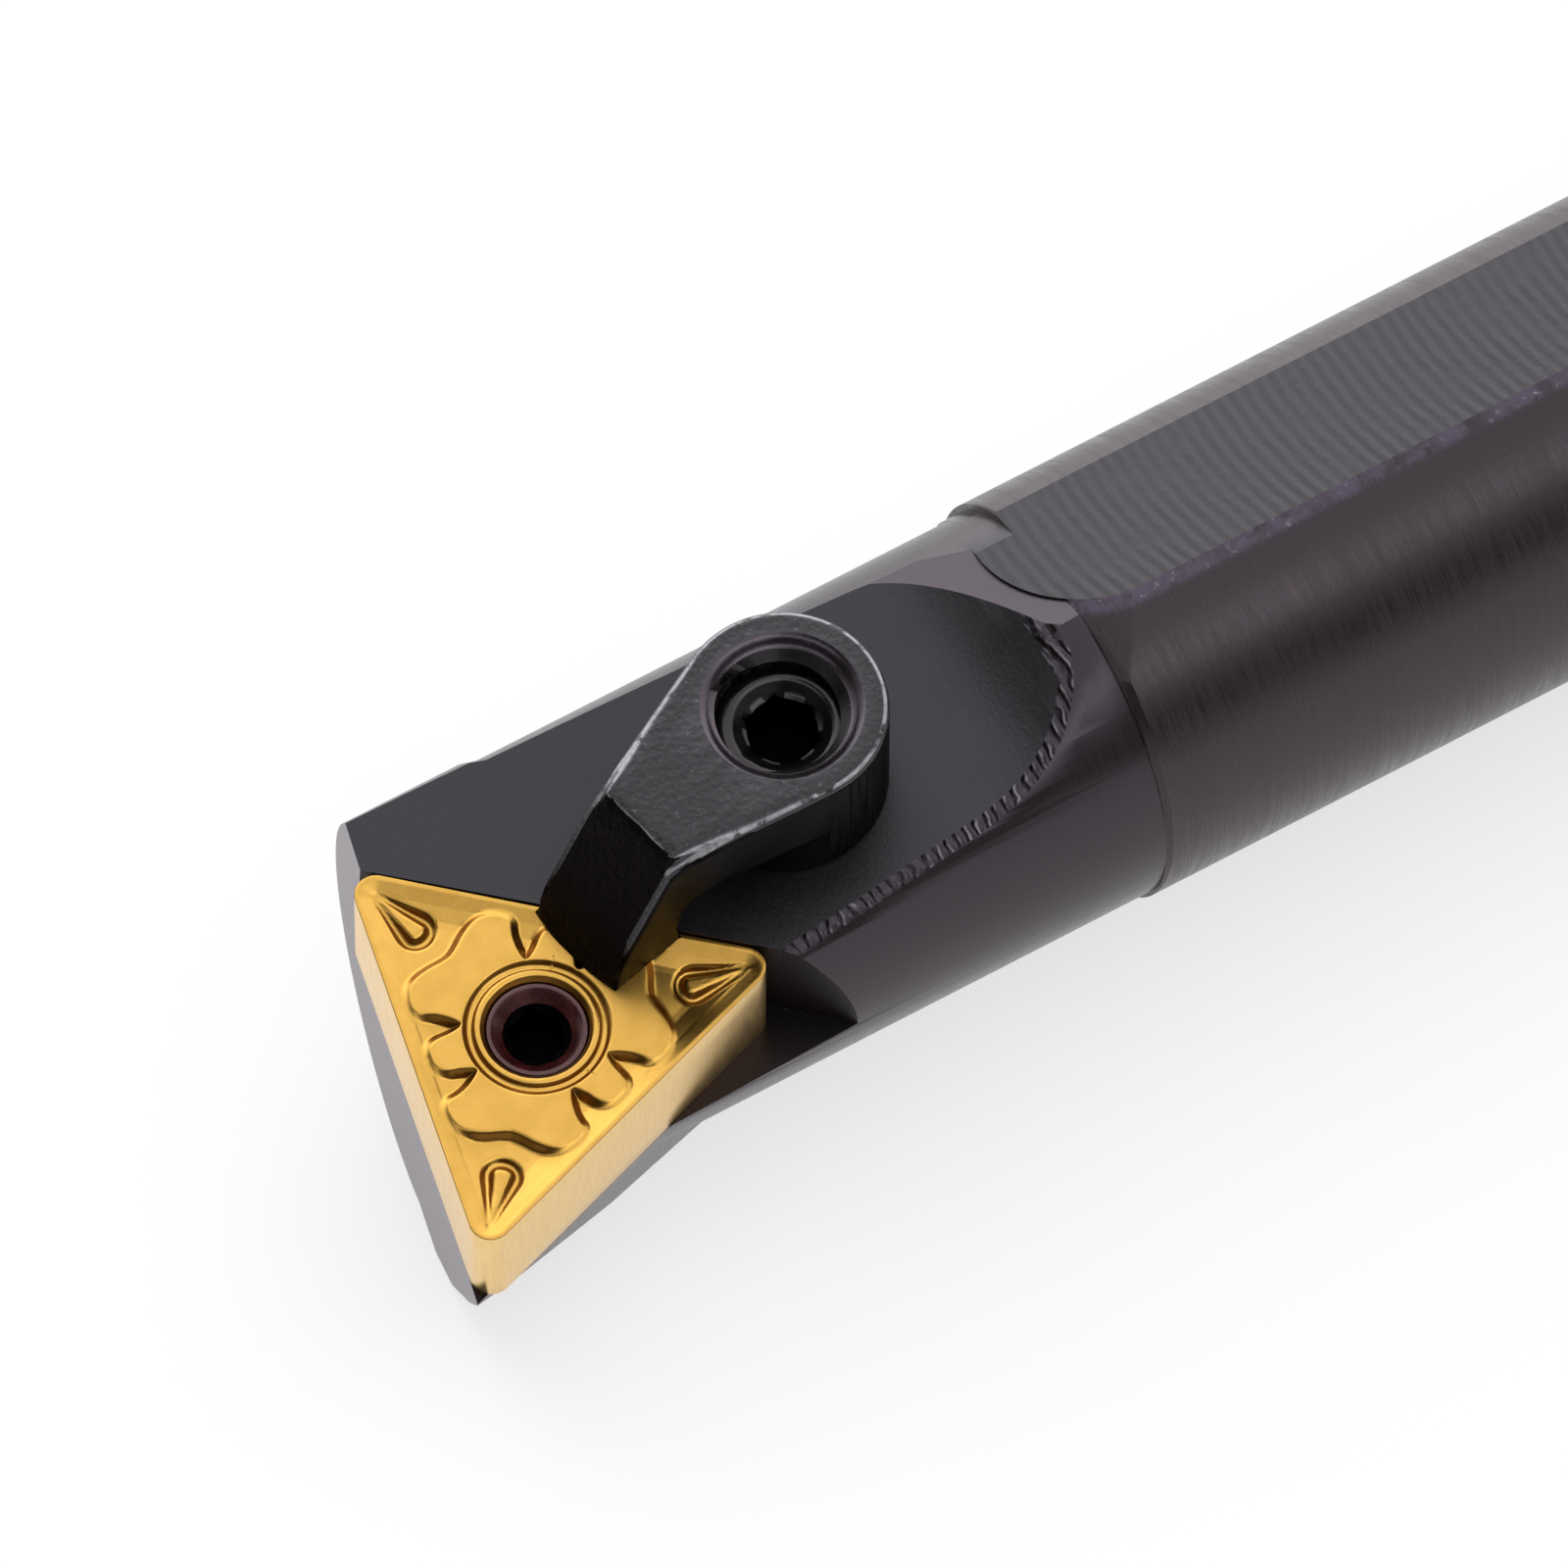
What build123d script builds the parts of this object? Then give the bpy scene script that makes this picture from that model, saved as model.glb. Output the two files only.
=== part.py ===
from build123d import *
from math import sin, cos, tan, radians, sqrt, asin, pi
import os

os.makedirs("parts", exist_ok=True)

# Internal turning tool holder (boring bar): round steel shank with two milled
# flats, a head with a chip gullet, an inclined insert pocket and a small
# support nose, a triangular double-sided insert on a threaded centre pin, and
# a finger clamp on a double-ended screw.
#
# Frame: origin on the shank axis at the shoulder where the head begins,
# +X along the axis towards the cutting end, +Y towards the cutting tip,
# +Z up, square to the clamping flats.  All lengths in millimetres.

# ---- shank -----------------------------------------------------------------
shank_r = 8.0            # 16 mm round shank
top_flat_z = 7.35        # upper clamping flat, 15.0 mm over both flats
bottom_flat_z = -7.65    # lower clamping flat
overall_l = 180.0        # rear end to cutting tip
rear_chamfer = 1.0

# ---- head ------------------------------------------------------------------
head_r = 7.845           # head turned just under the shank
head_flat_z = 7.23       # unhatched flat that runs into the gullet
flat_end_c = (-3.0, -1.3)  # centre of the arc that ends the shank flat
flat_end_r = 4.53
blend_c = (-3.0, -1.3, -3.65)  # ball-shaped blend between flat and shoulder
blend_r = 11.9
far_r, far_ecc, far_deg = 8.38, 0.70, -40.6      # eccentric relief turned along the far side
neck2_r, neck2_ecc, neck2_deg = 8.985, 1.42, -70.0  # eccentric neck behind the plain flat
neck_ecc = 0.36          # eccentric neck groove behind the head
neck_ecc_deg = 55.0
neck_r = 7.99
neck_half_angle = 40.0

# ---- cutting geometry ------------------------------------------------------
tip = (31.39, 11.21, 0.0)  # sharp corner of the insert, on the shank axis height
front_heading = 75.8     # front edge heading from the axis, 104 degree approach
rake_axial = 4.74        # negative rake along the axis
rake_radial = 17.62      # negative rake across the axis

# ---- insert ----------------------------------------------------------------
ins_side = 16.5          # side over the sharp corners, 9.525 inscribed circle
ins_t = 4.76
ins_corner_r = 0.8
ins_hole_r = 1.905
ins_land = 0.35          # width of the land behind the cutting edge
ins_groove = 0.22        # depth of the chip groove

# ---- centre pin ------------------------------------------------------------
pin_head_r = 1.85
pin_thread_r = 2.45
pin_top_h = -0.25
pin_len = 10.0
pin_hex_af = 2.0
pin_csk_r = 1.70

# ---- clamp and its screw ---------------------------------------------------
clamp_c = (-6.76, 11.57)  # screw axis in the insert's frame
clamp_dir = (0.42, -0.907)  # boss to nose direction in the insert's frame
boss_r = 3.9
clamp_top_h = 6.2
clamp_foot_h = 0.40
arm_under_h = 2.9
arm_break_s = 7.2
nose_top_s, nose_top_h = 9.7, 2.2
nose_reach = 10.5
nose_foot_h = 0.02
nose_back_s = 7.05
clamp_round_r = 0.35
arm_taper = 14.5
thread_major_r = 2.5     # M5 holes at their major radius
csk_r = 3.02
screw_r = 2.45
screw_top_h = 4.7
screw_bottom_h = -9.6
screw_hex_af = 2.5
screw_csk_r = 2.02

# ---- pocket, gullet, front -------------------------------------------------
wall_gap = 0.03
floor_slope = 0.0175     # gullet floor rises slowly towards the shank
floor_t0 = -4.0
ramp_start_t = 18.0
ramp_r = 11.4
sweep_turn = 0.25        # the ramp runs a little askew across the bar
edge_bevel = 0.30        # bevel along the near edge of the gullet
front_n = (0.964, -0.262, 0.035)
front_p = (27.26, -4.26, -4.78)
side_relief = 0.35       # support nose set back under the insert's side
side_relief_deg = 8.0


def unit(v):
    return v.normalized()


# insert frame: Z is the rake face normal, X runs along the front edge to the tip
nz = unit(Vector(tan(radians(rake_axial)), tan(radians(rake_radial)), 1))
c, s = cos(radians(front_heading)), sin(radians(front_heading))
nx = unit(Vector(c, s, -(c * tan(radians(rake_axial)) + s * tan(radians(rake_radial)))))
ny = nz.cross(nx)
inr = ins_side / (2 * sqrt(3))
circ = ins_side / sqrt(3)
centre = Vector(*tip) - nx * (ins_side / 2) + ny * inr
ins_plane = Plane(origin=centre, x_dir=nx, z_dir=nz)


def at(x, y, z=0.0):
    # point given in the insert's frame
    return centre + nx * x + ny * y + nz * z


def hexagon_cut(af, depth):
    return extrude(RegularPolygon(af / sqrt(3), 6), -depth)


# ---- bar body ---------------------------------------------------------------
rear_x = (at(ins_side / 2, -inr).X - 0.29) - overall_l
along_x = Plane(origin=(0, 0, 0), x_dir=(0, 1, 0), z_dir=(1, 0, 0))

shank = along_x.offset(rear_x) * extrude(Circle(shank_r), -rear_x)
shank = chamfer(shank.edges().group_by(Axis.X)[0], rear_chamfer)

# shoulder: ball blend at the near end of the flat, and the eccentric neck groove
blend_zone = Location((-1.75, 4.75, 6.0)) * Box(3.5, 9.5, 7.0)
shank -= blend_zone - Location(blend_c) * Sphere(blend_r)
ey, ez = -neck_ecc * cos(radians(neck_ecc_deg)), -neck_ecc * sin(radians(neck_ecc_deg))
groove_l = 1.2
groove_core = Plane(origin=(-groove_l, ey, ez), x_dir=(0, 1, 0), z_dir=(1, 0, 0)) * extrude(
    Circle(neck_r + groove_l * tan(radians(neck_half_angle))), groove_l,
    taper=neck_half_angle)
shank -= Plane(origin=(-groove_l, 0, 0), x_dir=(0, 1, 0), z_dir=(1, 0, 0)) * extrude(
    Circle(shank_r + 2), groove_l) - groove_core

head = along_x * extrude(Circle(head_r), 34)

# support nose under the cutting tip
nose_face = Polyline((1.0, -7.80), (3.0, -8.30), (5.3, -7.66), (8.0, -5.76),
                     (10.6, -3.4), (10.6, 0.0), (1.0, 0.0), close=True)
nose = Plane(origin=(12, 0, 0), x_dir=(0, 1, 0), z_dir=(1, 0, 0)) * extrude(make_face(nose_face), 22)
side_n = nx * cos(radians(30)) + ny * sin(radians(30))
side_origin = centre + side_n * (inr - side_relief) - nz * ins_t
tilt = radians(side_relief_deg)
side_out = unit(side_n * cos(tilt) - nz * sin(tilt))
nose -= Plane(origin=side_origin, x_dir=nz.cross(side_n), z_dir=side_out) * Box(
    80, 80, 40, align=(Align.CENTER, Align.CENTER, Align.MIN))

body = shank + head + nose

# flats: hatched flat of the shank, then the slightly lower plain flat of the head
body -= Location(((rear_x + 12) / 2, 0, top_flat_z)) * Box(
    12 - rear_x + 2, 20, 10, align=(Align.CENTER, Align.CENTER, Align.MIN))
head_flat = Plane(origin=(1.2, 0, head_flat_z), x_dir=(1, 0, -0.022), z_dir=(0.022, 0, 1)) * Box(
    30, 20, 4, align=(Align.CENTER, Align.CENTER, Align.MIN))
head_flat &= Location((8, 0, 8)) * Box(16, 20, 8)
head_flat -= Location((flat_end_c[0], flat_end_c[1], 8)) * Cylinder(flat_end_r, 10)
body -= head_flat
body -= Location((rear_x / 2, 0, bottom_flat_z)) * Box(
    -rear_x, 20, 6, align=(Align.CENTER, Align.CENTER, Align.MAX))

def turned(profile, offset, heading_deg):
    # ring of material outside a turned profile (x, r), whose axis is offset from the shank's
    cy, cz = offset * cos(radians(heading_deg)), offset * sin(radians(heading_deg))
    plane = Plane(origin=(0, cy, cz), x_dir=(1, 0, 0), z_dir=(0, 0, 1))
    face = plane * make_face(Polyline(*profile, close=True))
    return revolve(face, Axis((0, cy, cz), (1, 0, 0)), 360)


# eccentric neck behind the plain flat, then the eccentric relief along the far side
body -= turned([(-0.15, 12), (-0.15, neck2_r), (1.7, neck2_r), (5.0, neck2_r + 0.36), (5.0, 12)],
               neck2_ecc, neck2_deg)
body -= turned([(0.1, 12), (0.1, far_r + 0.47), (0.6, far_r), (20.9, far_r), (22.5, far_r + 0.42), (22.5, 12)],
               far_ecc, far_deg)

# gullet floor and ramp, swept across the bar
lat = unit(Vector(-0.2, 0.939, -0.281) - nz * nz.dot(Vector(-0.2, 0.939, -0.281)))
back = lat.cross(nz)
if back.X > 0:
    back = back * -1
lat, back = unit(lat - back * sweep_turn), unit(back + lat * sweep_turn)
ramp_plane = Plane(origin=centre, x_dir=back, z_dir=back.cross(nz))


def floor_h(t):
    return floor_slope * (t - floor_t0)


h0 = floor_h(ramp_start_t)
ang = 58.0
arc_c = (ramp_start_t, h0 + ramp_r)
end = (arc_c[0] + ramp_r * sin(radians(ang)), arc_c[1] - ramp_r * cos(radians(ang)))
mid = (arc_c[0] + ramp_r * sin(radians(ang / 2)), arc_c[1] - ramp_r * cos(radians(ang / 2)))
gullet_edge = [
    Line((-14, floor_h(-14)), (ramp_start_t, h0)),
    ThreePointArc((ramp_start_t, h0), mid, end),
    Line(end, (end[0], 20)),
    Line((end[0], 20), (-14, 20)),
    Line((-14, 20), (-14, floor_h(-14))),
]
body -= ramp_plane * extrude(make_face(gullet_edge), 16, both=True)

# bevel along the near edge of the gullet floor and up the ramp
body = body if isinstance(body, Solid) else body.solid()


def near_edge(e):
    p = e @ 0.5
    radial = sqrt(p.Y ** 2 + p.Z ** 2)
    on_round = abs(radial - head_r) < 0.02 and abs(sqrt((e @ 0.25).Y ** 2 + (e @ 0.25).Z ** 2) - head_r) < 0.02
    return on_round and p.Y > 2.0 and p.Z < 7.0 and p.Z > -1 and p.X > 1.0 and p.X < 24 and e.length > 2.0


bevel_edges = [e for e in body.edges() if near_edge(e)]
body = chamfer(bevel_edges, edge_bevel)

# insert pocket: one seat plane and one wall along the insert's rear side
wall_x = nx * cos(radians(60)) + ny * sin(radians(60))
wall_plane = Plane(origin=centre - nz * ins_t, x_dir=wall_x, z_dir=nz)
body -= wall_plane * Location((0, inr + wall_gap, 0)) * Box(
    90, 40, 30, align=(Align.CENTER, Align.MAX, Align.MIN))

# front face
front_dir = unit(Vector(*front_n))
body -= Plane(origin=front_p, z_dir=front_dir) * Box(60, 60, 20, align=(Align.CENTER, Align.CENTER, Align.MIN))

# threaded holes for the centre pin and the clamp screw
ins_axis = Plane(origin=centre, x_dir=nx, z_dir=nz)
body -= ins_axis.offset(-20) * Cylinder(thread_major_r, 20, align=(Align.CENTER, Align.CENTER, Align.MIN))
screw_plane = Plane(origin=at(clamp_c[0], clamp_c[1]), x_dir=nx * clamp_dir[0] + ny * clamp_dir[1], z_dir=nz)
body -= screw_plane.offset(-20) * Cylinder(thread_major_r, 26, align=(Align.CENTER, Align.CENTER, Align.MIN))

if isinstance(body, (Compound, ShapeList)) or len(body.solids()) > 1:
    body = max(body.solids(), key=lambda q: q.volume)

# ---- insert -----------------------------------------------------------------
def tri(r_in):
    pts = [(2 * r_in * cos(radians(a)), 2 * r_in * sin(radians(a))) for a in (-30, 90, 210)]
    return make_face(Polyline(*pts, close=True))


insert = extrude(tri(inr), -ins_t)
insert = fillet(insert.edges().filter_by(Axis.Z), ins_corner_r)


def lobed_island():
    # plateau round the hole with a lobe towards each corner
    pts = []
    for k in range(3):
        base = 90 + 120 * k
        for da, r in ((-60, 3.05), (-48, 3.9), (-38, 3.5), (-27, 4.35), (-14, 4.9),
                      (0, 4.35), (14, 4.9), (27, 4.35), (38, 3.5), (48, 3.9)):
            a = radians(base + da)
            pts.append((r * cos(a), r * sin(a)))
    return make_face(Polyline(*pts, close=True))


groove = extrude(fillet(tri(inr - ins_land).vertices(), 0.6), -ins_groove) - extrude(lobed_island(), -ins_groove)
insert -= groove
insert -= Location((0, 0, -ins_t + ins_groove)) * groove
insert -= Cylinder(ins_hole_r, ins_t, align=(Align.CENTER, Align.CENTER, Align.MAX))
insert = ins_plane * insert

# ---- centre pin ---------------------------------------------------------------
pin = Location((0, 0, pin_top_h)) * Cylinder(pin_head_r, ins_t + pin_top_h + 0.05, align=(Align.CENTER, Align.CENTER, Align.MAX))
pin += Location((0, 0, -ins_t - 0.05)) * Cylinder(pin_thread_r, pin_len - ins_t, align=(Align.CENTER, Align.CENTER, Align.MAX))
pin -= Location((0, 0, pin_top_h)) * hexagon_cut(pin_hex_af, 2.4)
pin -= Location((0, 0, pin_top_h)) * Cone(1.05, pin_csk_r, 0.65, align=(Align.CENTER, Align.CENTER, Align.MAX))
pin_low = pin.edges().group_by(Axis.Z)[0]
pin = chamfer(pin_low, 0.5)
pin = ins_plane * pin

# ---- clamp ----------------------------------------------------------------------
# plan outline: round boss, tapered arm, then a parallel nose with an arced front
ta = radians(arm_taper)
px, py = boss_r * sin(ta), boss_r * cos(ta)
nose_half_w = py - (arm_break_s - px) * tan(ta)
outline = [
    ThreePointArc((px, -py), (-boss_r, 0), (px, py)),
    Line((px, py), (arm_break_s, nose_half_w)),
    Line((arm_break_s, nose_half_w), (nose_reach + 1, nose_half_w)),
    Line((nose_reach + 1, nose_half_w), (nose_reach + 1, -nose_half_w)),
    Line((nose_reach + 1, -nose_half_w), (arm_break_s, -nose_half_w)),
    Line((arm_break_s, -nose_half_w), (px, -py)),
]
plan = make_face(outline) & Circle(nose_reach)
clamp = Plane.XY.offset(nose_foot_h) * extrude(plan, clamp_top_h - nose_foot_h)
# sloping top of the nose and its short front facet
side_view = Plane(origin=(0, 0, 0), x_dir=(1, 0, 0), z_dir=(0, -1, 0))
above = Polyline((arm_break_s, clamp_top_h), (nose_top_s, nose_top_h), (nose_reach - 0.02, nose_foot_h),
                 (nose_reach + 3, nose_foot_h - 1), (nose_reach + 3, clamp_top_h + 1),
                 (arm_break_s, clamp_top_h + 1), close=True)
clamp -= side_view * extrude(make_face(above), 8, both=True)
# soften the upper outline and the shoulders of the nose
clamp = clamp if isinstance(clamp, Solid) else clamp.solid()
upper = [e for e in clamp.edges()
         if min((e @ 0).Z, (e @ 1).Z) > nose_top_h - 0.01 and max((e @ 0).Z, (e @ 1).Z) > clamp_top_h - 0.01
         and abs((e @ 0).Z - (e @ 0.5).Z) < 3 and not (abs((e @ 0).X - arm_break_s) < 1e-3 and abs((e @ 1).X - arm_break_s) < 1e-3)]
clamp = fillet(upper, clamp_round_r)
# open the space under the arm, and lift the boss's foot clear of the floor
under = Polyline((-6, nose_foot_h - 1), (nose_back_s, nose_foot_h - 1), (nose_back_s, 0.5), (6.95, 1.1), (6.55, 2.3),
                 (5.9, arm_under_h), (-6, arm_under_h), close=True)
clamp -= side_view * extrude(make_face(under), 8, both=True) - Cylinder(boss_r, 20)
clamp -= Location((0, 0, clamp_foot_h)) * Cylinder(boss_r + 0.5, 5, align=(Align.CENTER, Align.CENTER, Align.MAX))
clamp -= Cylinder(thread_major_r, 20)
clamp -= Location((0, 0, clamp_top_h)) * Cone(thread_major_r - 0.02, csk_r, 0.55, align=(Align.CENTER, Align.CENTER, Align.MAX))
clamp = screw_plane * clamp
# the nose clears the pocket wall and the floor behind it
lip = wall_plane * Location((0, inr - 0.1, 0)) * Box(40, 20, ins_t + 0.34, align=(Align.CENTER, Align.MIN, Align.MIN))
nose_zone = screw_plane * Location((8.5, 0, 0)) * Box(6, 8, 6)
clamp -= lip & nose_zone

# ---- clamp screw -------------------------------------------------------------------
screw = Location((0, 0, screw_bottom_h)) * Cylinder(screw_r, screw_top_h - screw_bottom_h, align=(Align.CENTER, Align.CENTER, Align.MIN))
screw = chamfer(screw.edges().filter_by(GeomType.CIRCLE), 0.30)
screw -= Location((0, 0, screw_top_h)) * hexagon_cut(screw_hex_af, 3.0)
screw -= Location((0, 0, screw_bottom_h + 3.0)) * hexagon_cut(screw_hex_af, 3.0)
screw -= Location((0, 0, screw_top_h)) * Cone(1.32, screw_csk_r, 0.60, align=(Align.CENTER, Align.CENTER, Align.MAX))
screw = screw_plane * screw

nodes = {"bar_body": body, "insert": insert, "lock_pin": pin, "clamp": clamp, "clamp_screw": screw}
for name, shape in nodes.items():
    shape = shape.solid() if hasattr(shape, "solid") and len(shape.solids()) == 1 else shape
    export_step(shape, f"parts/{name}.step")
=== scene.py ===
from math import atan2, cos, degrees, floor, pi, radians, sin, sqrt, tan

import bmesh
import bpy
import numpy as np
from mathutils import Matrix, Vector


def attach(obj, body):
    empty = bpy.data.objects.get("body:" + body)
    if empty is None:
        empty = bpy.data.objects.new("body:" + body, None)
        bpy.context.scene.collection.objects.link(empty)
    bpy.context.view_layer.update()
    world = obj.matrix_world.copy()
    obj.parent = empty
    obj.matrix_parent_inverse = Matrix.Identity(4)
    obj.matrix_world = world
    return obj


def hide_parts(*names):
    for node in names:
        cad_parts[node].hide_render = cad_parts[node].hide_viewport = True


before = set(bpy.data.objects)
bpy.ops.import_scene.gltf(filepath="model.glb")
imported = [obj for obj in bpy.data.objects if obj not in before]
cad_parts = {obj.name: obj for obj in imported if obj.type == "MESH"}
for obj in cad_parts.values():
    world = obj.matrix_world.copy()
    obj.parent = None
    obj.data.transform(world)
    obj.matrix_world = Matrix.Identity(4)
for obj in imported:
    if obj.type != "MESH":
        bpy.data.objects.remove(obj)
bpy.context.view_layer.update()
MM = 0.001


# ---------------------------------------------------------------- local frame of the insert
def unit(v):
    return v / np.linalg.norm(v)


RAKE_AXIAL, RAKE_RADIAL, HEADING = 4.74, 17.62, 75.8
NZ = unit(np.array([tan(radians(RAKE_AXIAL)), tan(radians(RAKE_RADIAL)), 1.0]))
_c, _s = cos(radians(HEADING)), sin(radians(HEADING))
NX = unit(np.array([_c, _s, -(_c * tan(radians(RAKE_AXIAL)) + _s * tan(radians(RAKE_RADIAL)))]))
NY = np.cross(NZ, NX)
SIDE = 16.5
INR = SIDE / (2 * sqrt(3))
C0 = np.array([31.39, 11.21, 0.0]) - NX * SIDE / 2 + NY * INR  # mm, on the rake face
THICK = 4.76
CLAMP_C = (-6.76, 11.57)
CLAMP_S = unit(np.array([0.42, -0.907]))
S0 = C0 + NX * CLAMP_C[0] + NY * CLAMP_C[1]
SX = NX * CLAMP_S[0] + NY * CLAMP_S[1]
SY = np.cross(NZ, SX)


def insert_local(p):
    d = p - C0
    return np.stack([d @ NX, d @ NY, d @ NZ], -1)


def clamp_local(p):
    d = p - S0
    return np.stack([d @ SX, d @ SY, d @ NZ], -1)


# ---------------------------------------------------------------- shader helper
class Sock:
    def __init__(self, t, s):
        self.t, self.s = t, s

    def _op(self, op, *others):
        n = self.t.nodes.new("ShaderNodeMath")
        n.operation = op
        for i, o in enumerate((self,) + others):
            if isinstance(o, Sock):
                self.t.links.new(o.s, n.inputs[i])
            else:
                n.inputs[i].default_value = float(o)
        return Sock(self.t, n.outputs[0])

    def __add__(self, o):
        return self._op("ADD", o)

    __radd__ = __add__

    def __sub__(self, o):
        return self._op("SUBTRACT", o)

    def __rsub__(self, o):
        return self._op("MULTIPLY", -1.0)._op("ADD", o)

    def __mul__(self, o):
        return self._op("MULTIPLY", o)

    __rmul__ = __mul__

    def __truediv__(self, o):
        return self._op("DIVIDE", o)

    def abs(self):
        return self._op("ABSOLUTE")

    def sqrt(self):
        return self._op("SQRT")

    def sin(self):
        return self._op("SINE")

    def fract(self):
        return self._op("FRACT")

    def pow(self, o):
        return self._op("POWER", o)

    def max(self, o):
        return self._op("MAXIMUM", o)

    def min(self, o):
        return self._op("MINIMUM", o)

    def atan2(self, o):
        return self._op("ARCTAN2", o)

    def step(self, a, b, lo=0.0, hi=1.0, smooth=True):
        n = self.t.nodes.new("ShaderNodeMapRange")
        n.interpolation_type = "SMOOTHSTEP" if smooth else "LINEAR"
        n.clamp = True
        self.t.links.new(self.s, n.inputs["Value"])
        n.inputs["From Min"].default_value = a
        n.inputs["From Max"].default_value = b
        n.inputs["To Min"].default_value = lo
        n.inputs["To Max"].default_value = hi
        return Sock(self.t, n.outputs["Result"])


class Mat:
    def __init__(self, name, base, rough, metallic=0.0, ior=1.65, tint=(1, 1, 1), coat=0.0, coat_rough=0.1):
        self.m = bpy.data.materials.new(name)
        self.m.use_nodes = True
        self.t = self.m.node_tree
        self.b = self.t.nodes["Principled BSDF"]
        self.b.inputs["Base Color"].default_value = (*base, 1)
        self.b.inputs["Roughness"].default_value = rough
        self.b.inputs["Metallic"].default_value = metallic
        self.b.inputs["IOR"].default_value = ior
        self.b.inputs["Specular Tint"].default_value = (*tint, 1)
        self.b.inputs["Coat Weight"].default_value = coat
        self.b.inputs["Coat Roughness"].default_value = coat_rough
        tc = self.t.nodes.new("ShaderNodeTexCoord")
        sc = self.t.nodes.new("ShaderNodeVectorMath")
        sc.operation = "SCALE"
        sc.inputs["Scale"].default_value = 1000.0
        self.t.links.new(tc.outputs["Object"], sc.inputs[0])
        self.vec = sc.outputs[0]
        sep = self.t.nodes.new("ShaderNodeSeparateXYZ")
        self.t.links.new(self.vec, sep.inputs[0])
        self.x, self.y, self.z = (Sock(self.t, sep.outputs[i]) for i in range(3))
        geo = self.t.nodes.new("ShaderNodeNewGeometry")
        self.geo = geo
        sn = self.t.nodes.new("ShaderNodeSeparateXYZ")
        self.t.links.new(geo.outputs["Normal"], sn.inputs[0])
        self.nx, self.ny, self.nz = (Sock(self.t, sn.outputs[i]) for i in range(3))

    def combine(self, x, y, z):
        n = self.t.nodes.new("ShaderNodeCombineXYZ")
        for i, v in enumerate((x, y, z)):
            if isinstance(v, Sock):
                self.t.links.new(v.s, n.inputs[i])
            else:
                n.inputs[i].default_value = float(v)
        return n.outputs[0]

    def axis(self, direction, origin):
        return (
            self.x * float(direction[0])
            + self.y * float(direction[1])
            + self.z * float(direction[2])
            - float(np.dot(direction, origin))
        )

    def noise(self, scale, detail=3.0, rough=0.55, vec=None, stretch=None, dist=0.0):
        n = self.t.nodes.new("ShaderNodeTexNoise")
        n.inputs["Scale"].default_value = scale
        n.inputs["Detail"].default_value = detail
        n.inputs["Roughness"].default_value = rough
        n.inputs["Distortion"].default_value = dist
        v = vec if vec is not None else self.vec
        if stretch is not None:
            s = self.t.nodes.new("ShaderNodeVectorMath")
            s.operation = "MULTIPLY"
            self.t.links.new(v, s.inputs[0])
            s.inputs[1].default_value = stretch
            v = s.outputs[0]
        self.t.links.new(v, n.inputs["Vector"])
        return Sock(self.t, n.outputs["Fac"])

    def voronoi(self, scale, vec=None, feature="F1"):
        n = self.t.nodes.new("ShaderNodeTexVoronoi")
        n.feature = feature
        n.inputs["Scale"].default_value = scale
        self.t.links.new(vec if vec is not None else self.vec, n.inputs["Vector"])
        return Sock(self.t, n.outputs["Distance"])

    def mix(self, fac, a, b):
        n = self.t.nodes.new("ShaderNodeMix")
        n.data_type = "RGBA"
        if isinstance(fac, Sock):
            self.t.links.new(fac.s, n.inputs["Factor"])
        else:
            n.inputs["Factor"].default_value = fac
        for key, v in (("A", a), ("B", b)):
            i = [k for k in n.inputs if k.name == key and k.type == "RGBA"][0]
            if isinstance(v, tuple):
                i.default_value = (*v, 1)
            else:
                self.t.links.new(v, i)
        return [o for o in n.outputs if o.type == "RGBA"][0]

    def color(self, sock):
        self.t.links.new(sock, self.b.inputs["Base Color"])

    def metal(self, sock):
        self.t.links.new(sock.s, self.b.inputs["Metallic"])

    def rough(self, sock):
        self.t.links.new(sock.s, self.b.inputs["Roughness"])

    def bump(self, height, distance_mm, strength=1.0):
        n = self.t.nodes.new("ShaderNodeBump")
        n.inputs["Strength"].default_value = strength
        n.inputs["Distance"].default_value = distance_mm * MM
        self.t.links.new(height.s, n.inputs["Height"])
        prev = getattr(self, "_normal", None)
        if prev is not None:
            self.t.links.new(prev, n.inputs["Normal"])
        self._normal = n.outputs[0]
        self.t.links.new(self._normal, self.b.inputs["Normal"])


OXIDE = (0.0085, 0.0072, 0.0085)
TINT = (1.0, 0.87, 0.99)
BARE = (0.42, 0.39, 0.42)


def nicks(m, scale=1.1, cut=0.73, sharp=0.03):
    """Sparse small bright nicks."""
    a = m.noise(scale, 4.0, 0.75)
    b = m.noise(scale * 0.13, 1.0, 0.5)
    return (a + (b - 0.5) * 0.12).step(cut, cut + sharp)


def oxide(name, rough=0.3, nick_cut=0.74, ior=1.65, bump=0.004, rough_var=0.1, base=OXIDE, tint=TINT):
    m = Mat(name, base, rough, ior=ior, tint=tint)
    fine = m.noise(5.5, 3.0, 0.7)
    broad = m.noise(0.35, 2.0, 0.5)
    spot = nicks(m, 1.6, nick_cut, 0.04)
    m.rough((fine - 0.5) * rough_var + (broad - 0.5) * rough_var + rough)
    col = m.mix(spot, base, BARE)
    m.color(col)
    m.metal(spot * 0.85)
    m.bump(fine, bump)
    m.fine, m.broad, m.spot = fine, broad, spot
    return m


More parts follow.
